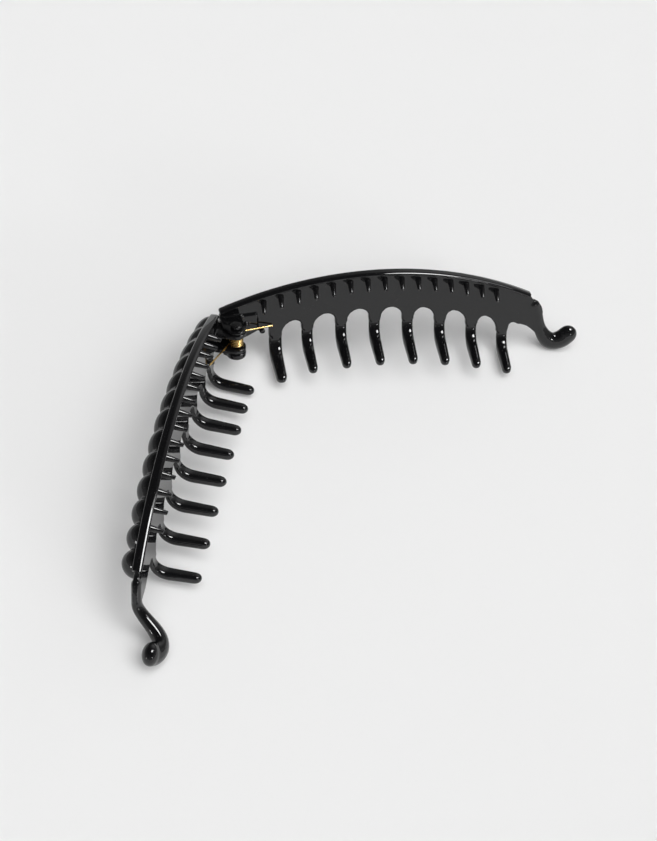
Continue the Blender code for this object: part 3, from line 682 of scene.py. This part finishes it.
def stud(out, up, base, radius, length, edge):
    """Short round stud on the wall, with a softened top."""
    bpy.ops.object.select_all(action="DESELECT")
    bpy.ops.mesh.primitive_cylinder_add(
        vertices=STUD_SIDES, radius=radius, depth=length + STUD_SINK,
        location=(out, up, base + (length - STUD_SINK) / 2))
    piece = added("stud")
    edit(piece)
    pick(piece, lambda place: place.z > base + length - PICK_MARGIN)
    bpy.ops.mesh.bevel(offset=edge, segments=3, affect="EDGES")
    leave()
    return piece


def spring_pad():
    """Raised pad on the right wall, with the peg that stands on it."""
    bpy.ops.object.select_all(action="DESELECT")
    foot = SPRING_LEG_HEIGHT - PAD_DROP
    bpy.ops.mesh.primitive_cube_add(
        size=1, location=(PAD_OUT, (foot + PAD_TOP) / 2, PAD_LEVEL),
        scale=(PAD_LENGTH, PAD_TOP - foot, PAD_THICK))
    pad = added("pad")
    edit(pad)
    bpy.ops.mesh.bevel(offset=PAD_EDGE, segments=3, affect="EDGES")
    leave()
    return [pad, stud(*PEG)]


def rim(side):
    """The crisp band along the arched edge: its section drawn once and spun round the arch's centre."""
    piece = filled("rim", RIM_SECTION)
    stand = Matrix(((0, 0, 1, 0), (0, 1, 0, RIM_RADIUS), (1, 0, 0, 0), (0, 0, 0, 1)))
    centre = Matrix.Translation((ARCH_CENTRE.x, ARCH_CENTRE.y, 0))
    far = rim_angle(FAR_OUT + RIM_FAR[side])
    piece.data.transform(centre @ Matrix.Rotation(-far, 4, "Z") @ stand)
    edit(piece)
    bpy.ops.mesh.remove_doubles(threshold=MERGE_DISTANCE)
    bpy.ops.mesh.spin(
        steps=2 * ARC_STEPS, angle=rim_angle(RIM_NEAR[side]) - far,
        center=(ARCH_CENTRE.x, ARCH_CENTRE.y, 0), axis=(0, 0, 1))
    near = arch_point(rim_angle(RIM_NEAR[side]), RIM_THICK / 2)
    along = (near - arch_point(rim_angle(RIM_NEAR[side] + 1), RIM_THICK / 2)).normalized()
    for step, grow in RIM_END:
        near = near + along * step
        middle = (near.x, near.y, RIM_LIP - RIM_WIDTH / 2)
        shift = (along.x * step, along.y * step, 0)
        bpy.ops.mesh.extrude_region_move(TRANSFORM_OT_translate={"value": shift})
        bpy.ops.transform.resize(value=(grow, grow, grow), center_override=middle)
    leave()
    outward(piece)
    return piece


def arm(side):
    """One moulding, fused from its wall, teeth, spikes, hook and lugs, with its rim."""
    pieces = [plate("wall", wall_outline(side), -WALL_THICK, 0)]
    pieces += teeth(side)
    pieces.append(hook(side))
    pieces.append(stud(*LEG_STUD))
    pieces += [lug(side, height, thick) for height, thick in LUGS[side]]
    if side == "right":
        pieces += spring_pad()
    moulding = joined(side + "_arm_moulding", pieces)
    finish(moulding, "REMESH", mode="VOXEL", voxel_size=VOXEL)
    finish(moulding, "SMOOTH", factor=SMOOTHING, iterations=ARM_SMOOTH_PASSES)
    moulding = joined(side + "_arm_moulding", [moulding, rim(side)] + spikes())
    return placed(moulding, arm_frame(side) @ wall_frame(side))


def placed(piece, matrix):
    """Moves a finished piece to its place in the shared frame and shades it smooth."""
    piece.data.transform(matrix)
    mirrored = matrix.determinant() <= 0
    edit(piece)
    if mirrored:
        bpy.ops.mesh.flip_normals()
    leave()
    choose(piece)
    bpy.ops.object.shade_smooth_by_angle(angle=CREASE_ANGLE)
    return piece


def rope(side):
    """Rope trim along the outer face: slanted lobes laid over a core, cut flat against the wall.

    The lobes are short and deep at the far end, long and shallow towards the hinge.
    """
    bpy.ops.object.select_all(action="DESELECT")
    bpy.ops.mesh.primitive_uv_sphere_add(segments=48, ring_count=24, radius=1)
    first = added("lobe")
    depth = RIM_THICK + ROPE_RIM_GAP + ROPE_RADIUS
    back = -WALL_THICK - ROPE_FIT
    pieces = []
    for index in range(LOBE_COUNT):
        share = index / (LOBE_COUNT - 1)
        angle = rim_angle(LOBE_LAST - LOBE_PITCH * index - LOBE_STRETCH * index * (index - 1))
        centre = arch_point(angle, depth)
        length, breadth = mixed(LOBE_LENGTH, share), mixed(LOBE_BREADTH, share)
        size = Matrix.Diagonal((length, breadth, ROPE_RADIUS, 1))
        slant = Matrix.Rotation(-angle - mixed(LOBE_SLANT, share), 4, "Z")
        pieces.append(copy_of(first, Matrix.Translation((centre.x, centre.y, back)) @ slant @ size))
    bpy.data.objects.remove(first, do_unlink=True)
    points = []
    radii = []
    for share in span(0, 1, ARC_STEPS):
        angle = FAR_ANGLE + (rim_angle(RIM_NEAR[side]) - FAR_ANGLE) * share
        centre = arch_point(angle, depth)
        points.append((centre.x, centre.y, back))
        taper = max(0, 1 - (1 - share) * CORE_TAPER_RATE)
        radii.append(mixed(CORE_RADIUS, share) * math.sqrt(1 - taper ** 2 * CORE_TAPER))
    pieces.append(rod("core", points, radii))
    trim = joined(side + "_rope", pieces)
    finish(trim, "REMESH", mode="VOXEL", voxel_size=VOXEL)
    finish(trim, "SMOOTH", factor=SMOOTHING, iterations=ROPE_SMOOTH_PASSES)
    edit(trim)
    bpy.ops.mesh.bisect(
        plane_co=(0, 0, back), plane_no=(0, 0, 1), use_fill=True, clear_outer=True)
    leave()
    return placed(trim, arm_frame(side) @ wall_frame(side))


def pin():
    """Turned pin: a domed head on the top lug and a plain shank down to the lowest one."""
    bpy.ops.object.select_all(action="DESELECT")
    foot = STACK_FOOT + PIN_END_GAP
    head_foot = STACK_TOP + PIN_FIT
    bpy.ops.mesh.primitive_cylinder_add(
        vertices=PIN_SIDES, radius=PIN_RADIUS, depth=head_foot - foot,
        location=(0, 0, (head_foot + foot) / 2))
    piece = added("hinge_pin_turned")
    edit(piece)
    pick(piece, lambda place: place.z < foot + PICK_MARGIN)
    bpy.ops.mesh.bevel(offset=PIN_END_EDGE, segments=3, affect="EDGES")
    pick(piece, lambda place: place.z > head_foot - PICK_MARGIN)
    grow = PIN_HEAD_RADIUS / PIN_RADIUS
    bpy.ops.mesh.extrude_region_move()
    bpy.ops.transform.resize(value=(grow, grow, 1), center_override=(0, 0, head_foot))
    bpy.ops.mesh.extrude_region_move(TRANSFORM_OT_translate={"value": (0, 0, PIN_HEAD_HEIGHT)})
    bpy.ops.mesh.bevel(offset=PIN_HEAD_EDGE, segments=4, affect="EDGES")
    leave()
    outward(piece)
    return placed(piece, HINGE @ MILLIMETRES)


def spring():
    """Close-wound torsion spring: right leg, coil down round the pin, left leg."""
    leg_offset = WALL_INSET + SPRING_LEG_HEIGHT * math.tan(WALL_TILT) - SPRING_WIRE / 2 - SPRING_FIT
    leg_span = math.hypot(SPRING_LEG, leg_offset)
    tangent = math.atan2(leg_offset, SPRING_LEG) + math.acos(COIL_RADIUS / leg_span)
    sweep = (2 * math.pi - OPEN_ANGLE - 2 * tangent) % (2 * math.pi) + COIL_TURNS * 2 * math.pi
    height = COIL_SPACE - SPRING_WIRE - 2 * SPRING_FIT
    top = COIL_MIDDLE + height / 2
    count = round(sweep / (2 * math.pi) * COIL_STEPS)
    route = []
    for share in span(0, 1, count):
        turn = TURN["right"] + tangent + sweep * share
        place = (COIL_RADIUS * math.cos(turn), COIL_RADIUS * math.sin(turn), top - height * share)
        route.append(Vector(place))
    right_tip = Vector((SPRING_LEG, leg_offset, SPRING_LEG_HEIGHT))
    right_tip = Matrix.Rotation(TURN["right"], 3, "Z") @ right_tip
    left_tip = Vector((SPRING_LEG, -leg_offset, SPRING_LEG_HEIGHT))
    left_tip = Matrix.Rotation(TURN["left"], 3, "Z") @ left_tip
    right_leg = [right_tip.lerp(route[0], share) for share in span(0, 1, LEG_STEPS)][:-1]
    left_leg = [route[-1].lerp(left_tip, share) for share in span(0, 1, LEG_STEPS)][1:]
    route = right_leg + route + left_leg
    wire = rod("torsion_spring_wire", route, [SPRING_WIRE / 2] * len(route), 3)
    return placed(wire, HINGE @ MILLIMETRES)


# Finishes

class Socket:
    """A shader value that takes part in Python sums."""

    def __init__(self, tree, output):
        self.tree = tree
        self.output = output

    def math(self, operation, first, second):
        return self.node("ShaderNodeMath", {"operation": operation}, {0: first, 1: second})

    def node(self, kind, settings=None, inputs=None, output=0):
        """Adds a node, sets it, feeds its sockets, and gives one of its outputs."""
        made = self.tree.nodes.new(kind)
        for name, value in (settings or {}).items():
            if name == "stops":
                ramp = made.color_ramp.elements
                while len(ramp) < len(value):
                    ramp.new(1)
                for element, (position, colour) in zip(ramp, value):
                    element.position = position
                    element.color = (*colour, 1)
            else:
                setattr(made, name, value)
        for name, value in (inputs or {}).items():
            if isinstance(value, Socket):
                self.tree.links.new(value.output, made.inputs[name])
            else:
                made.inputs[name].default_value = value
        return Socket(self.tree, made.outputs[output])

    def __add__(self, other):
        return self.math("ADD", self, other)

    def __radd__(self, other):
        return self.math("ADD", other, self)

    def __mul__(self, other):
        return self.math("MULTIPLY", self, other)


class Finish:
    """A new material: its object coordinates, its shader, and what feeds it."""

    def __init__(self, name):
        self.material = bpy.data.materials.new(name)
        self.material.use_nodes = True
        self.tree = self.material.node_tree
        self.shader = self.tree.nodes["Principled BSDF"]
        self.place = Socket(self.tree, None).node("ShaderNodeTexCoord", output="Object")

    def set(self, **values):
        for name, value in values.items():
            socket = self.shader.inputs[name.replace("_", " ").title()]
            if isinstance(value, Socket):
                self.tree.links.new(value.output, socket)
            else:
                socket.default_value = value

    def noise(self, scale, detail):
        return self.place.node(
            "ShaderNodeTexNoise", None, {"Vector": self.place, "Scale": scale, "Detail": detail})

    def between(self, value, low, high):
        """A value stretched so that low and high become nought and one."""
        return self.place.node(
            "ShaderNodeMapRange", None, {"Value": value, "From Min": low, "From Max": high})

    def mix(self, factor, first, second):
        return self.place.node(
            "ShaderNodeMix", {"data_type": "RGBA"}, {0: factor, 6: (*first, 1), 7: (*second, 1)}, 2)

    def bump(self, height, distance, strength):
        return self.place.node(
            "ShaderNodeBump", None, {"Height": height, "Distance": distance, "Strength": strength})


def black_plastic(name, smooth, rough):
    """Injection-moulded gloss black: faint flow waves, handling haze and a few dust specks."""
    made = Finish(name)
    haze = made.between(made.noise(90, 4), 0.42, 0.72)
    dust = made.between(made.noise(2600, 1), 0.70, 0.76)
    made.set(
        base_color=made.mix(dust * 0.5, *BLACK_AND_DUST),
        roughness=smooth + haze * (rough - smooth) + dust * 0.25,
        normal=made.bump(made.noise(160, 2), 0.00002, 0.4),
    )
    return made.material


def brass():
    """Bright drawn brass wire with a little tarnish."""
    made = Finish("brass_wire")
    tarnish = made.between(made.noise(700, 3), 0.4, 0.7)
    made.set(
        base_color=made.mix(tarnish, *BRASS_AND_TARNISH),
        roughness=0.2 + tarnish * 0.08,
        metallic=1.0,
    )
    return made.material


def paper():
    """Pale matt sheet under the clip."""
    made = Finish("pale_floor")
    grain = made.noise(900, 4)
    made.set(
        base_color=made.mix(made.noise(6, 2), *PAPER_TONES),
        roughness=0.85,
        normal=made.bump(grain, 0.0001, 0.15),
    )
    made.shader.inputs["Specular IOR Level"].default_value = 0.2
    return made.material


def coated(piece, material):
    """Gives a piece its one material."""
    piece.data.materials.clear()
    piece.data.materials.append(material)


# The clip

bpy.ops.object.select_all(action="DESELECT")
plastic = black_plastic("gloss_black_plastic", 0.03, 0.07)
trim_plastic = black_plastic("gloss_black_trim", 0.08, 0.2)
lacquer = black_plastic("black_lacquer", 0.06, 0.14)
for side in ("right", "left"):
    moulding = arm(side)
    coated(moulding, plastic)
    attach(moulding, side)
    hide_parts(side + "_arm")
    trim = rope(side)
    coated(trim, trim_plastic)
    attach(trim, side)
    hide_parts(side + "_rope_trim")
hinge_pin = pin()
coated(hinge_pin, lacquer)
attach(hinge_pin, "right")
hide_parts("hinge_pin")
wire = spring()
coated(wire, brass())
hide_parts("torsion_spring")
reach = BLEND_SLANT * BLEND_REACH / BLEND_SLANT.length_squared
coil_middle = Vector((0, 0, COIL_MIDDLE))
tuple(HINGE @ MILLIMETRES @ (coil_middle + reach))
tuple(HINGE @ MILLIMETRES @ (coil_middle - reach))
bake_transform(wire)

# Floor, light and camera
bpy.ops.object.select_all(action="DESELECT")
bpy.ops.mesh.primitive_plane_add(size=8)
floor = added("floor")
floor.data.materials.append(paper())

view_turn = HINGE.to_3x3() @ Matrix.Rotation(VIEW_AZIMUTH, 3, "Z")
right = Vector((1, 0, 0))
above = Vector((0, math.sin(VIEW_ELEVATION), math.cos(VIEW_ELEVATION)))
behind = Vector((0, -math.cos(VIEW_ELEVATION), math.sin(VIEW_ELEVATION)))
camera_right = right * math.cos(VIEW_ROLL) - above * math.sin(VIEW_ROLL)
camera_up = right * math.sin(VIEW_ROLL) + above * math.cos(VIEW_ROLL)
stand = camera_right * VIEW_SHIFT[0] + camera_up * VIEW_SHIFT[1] + behind * VIEW_SHIFT[2]
stand = stand * MM
bpy.ops.object.camera_add()
camera = bpy.context.object
turn = view_turn @ Matrix((camera_right, camera_up, behind)).transposed()
camera.matrix_world = Matrix.Translation(HINGE.translation + view_turn @ stand) @ turn.to_4x4()
camera.data.lens = LENS
bpy.context.scene.camera = camera

picture_right = (view_turn @ right).normalized()
picture_away = Vector((0, 0, 1)).cross(picture_right)


def lamp(name, sideways, away, height, spread, strength, unlit=None):
    """A far, even light whose spread, in degrees, softens its shadow.

    A lamp that leaves diffuse rays unlit shows only as a reflection, and one that leaves
    glossy rays unlit shows in none.
    """
    bpy.ops.object.light_add(type="SUN")
    light = bpy.context.object
    light.name = name
    place = picture_right * sideways + picture_away * away + Vector((0, 0, height))
    light.rotation_euler = (-place).to_track_quat("-Z", "Y").to_euler()
    light.data.angle = math.radians(spread)
    light.data.energy = strength
    light.visible_diffuse = unlit != "diffuse"
    light.visible_glossy = unlit != "glossy"


for degrees in span(*PANE_DEGREES, PANE_STEPS):
    height = math.radians(degrees)
    sideways, away = (part * math.cos(height) for part in PANE_HEADING)
    lamp("window_pane", sideways, away, math.sin(height), PANE_SPREAD, PANE_STRENGTH, "diffuse")
lamp("left_window", -0.7, -0.7, 0.15, 6, 0.25)
lamp("right_window", 0.7, -0.7, 0.15, 6, 0.25)
lamp("softbox", 0.51, -0.03, 0.86, 20, 2.2, "diffuse")
lamp("ceiling", 0.1, -0.4, 1.0, 70, 2.33, "glossy")
lamp("room", 0.75, -0.6, 0.6, 60, 0.7, "glossy")


def greys(tones):
    """Ramp stops of plain grey, each given as its position and tone."""
    return {"stops": [(position, (tone, tone, tone)) for position, tone in tones]}


world = bpy.data.worlds.new("studio")
bpy.context.scene.world = world
world.use_nodes = True
background = world.node_tree.nodes["Background"]
sky = Socket(world.node_tree, None)
direction = sky.node("ShaderNodeTexCoord", output="Generated")
height = sky.node("ShaderNodeSeparateXYZ", None, {"Vector": direction}, "Z")
horizon = sky.node("ShaderNodeValToRGB", greys(HORIZON_TONES), {"Fac": height})
across, beyond, up = BRIGHT_SIDE
bright_side = (picture_right * across + picture_away * beyond + Vector((0, 0, up))).normalized()
facing = sky.node(
    "ShaderNodeVectorMath", {"operation": "DOT_PRODUCT"}, {0: direction, 1: bright_side}, "Value")
far_wall = sky.node("ShaderNodeValToRGB", greys(FAR_WALL_TONES), {"Fac": facing})
glow = sky.node(
    "ShaderNodeMix", {"data_type": "RGBA", "blend_type": "LIGHTEN"},
    {0: 1.0, 6: horizon, 7: far_wall}, 2)
world.node_tree.links.new(glow.output, background.inputs["Color"])
background.inputs["Strength"].default_value = 1.0
bpy.context.scene.view_settings.view_transform = "Standard"
